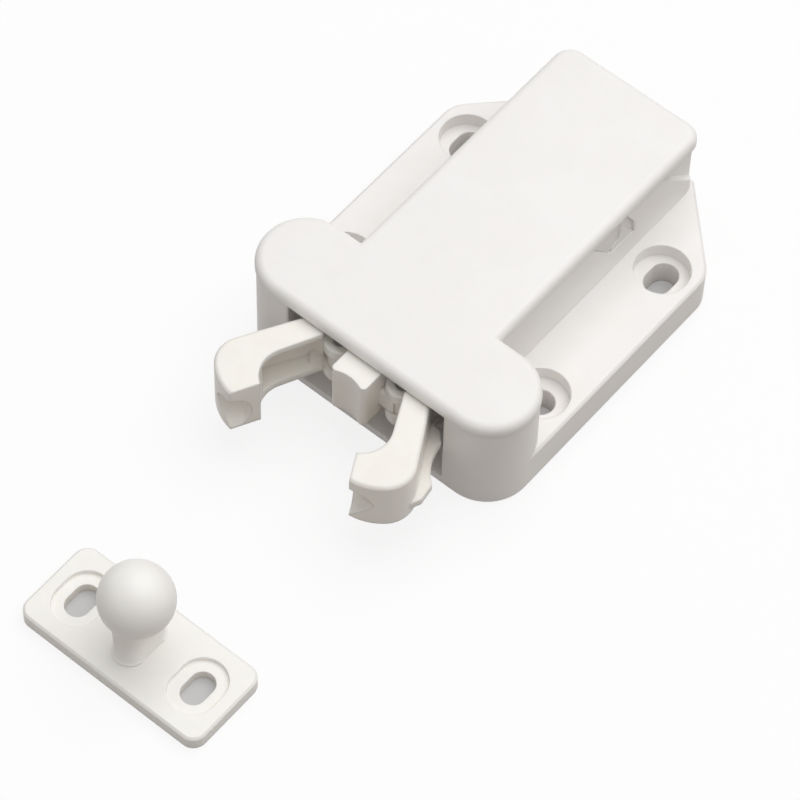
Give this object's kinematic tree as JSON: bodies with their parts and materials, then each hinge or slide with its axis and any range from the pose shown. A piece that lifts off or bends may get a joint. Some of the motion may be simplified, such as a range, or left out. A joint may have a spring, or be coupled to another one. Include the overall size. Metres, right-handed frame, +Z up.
{
  "type": "push to open catch",
  "caption": "Push-to-open touch catch in white plastic: a sprung carriage with a pressing nose and hooked jaws in a screwed-down case, and its ball striker on a slotted plate.",
  "frame": {"origin": "middle of the case's front line, level with its screwed-down face", "axes": "+X across the catch to the right, +Y from the mouth to the back of the case, +Z up away from the mounting surface"},
  "size_m": [0.0492, 0.1187, 0.0201],
  "materials": {
    "case_plastic": "moulded, satin",
    "moving_plastic": "moulded, satin, slightly warmer white",
    "steel_pin": "ground",
    "spring_steel": "drawn wire"
  },
  "bodies": {
    "case": {"base": "case_plastic", "cover": "case_plastic", "striker": "moving_plastic", "return_spring": "spring_steel"},
    "carriage": {"carriage": "moving_plastic", "jaw_pin_left": "steel_pin", "jaw_pin_right": "steel_pin"},
    "jaw_left": {"jaw_left": "moving_plastic"},
    "jaw_right": {"jaw_right": "moving_plastic"},
    "track_wire": {"track_wire": "spring_steel"}
  },
  "joints": [
    {"name": "carriage_slide", "type": "slide", "parent": "case", "child": "carriage", "axis": [0, 1, 0], "range_m": [0, 0.01], "stiffness_N_per_m": 400, "springref_m": -0.008, "deforming": ["return_spring"]},
    {"name": "jaw_left_swing", "type": "hinge", "parent": "carriage", "child": "jaw_left", "pos_m": [-0.00585, 0.002, 0.0128], "axis": [0, 0, 1], "range_deg": [0, 20]},
    {"name": "jaw_right_swing", "type": "hinge", "parent": "carriage", "child": "jaw_right", "pos_m": [0.00585, 0.002, 0.0128], "axis": [0, 0, -1], "range_deg": [0, 20]},
    {"name": "track_wire_swing", "type": "hinge", "parent": "case", "child": "track_wire", "pos_m": [0, 0.055, 0.0163], "axis": [0, 0, 1], "range_deg": [0, 6]}
  ],
  "couplings": [
    {"joint": "jaw_left_swing", "follows": "carriage_slide", "rad_per_m": 34.907},
    {"joint": "jaw_right_swing", "follows": "carriage_slide", "rad_per_m": 34.907},
    {"joint": "track_wire_swing", "follows": "carriage_slide", "rad_per_m": 10.472}
  ]
}
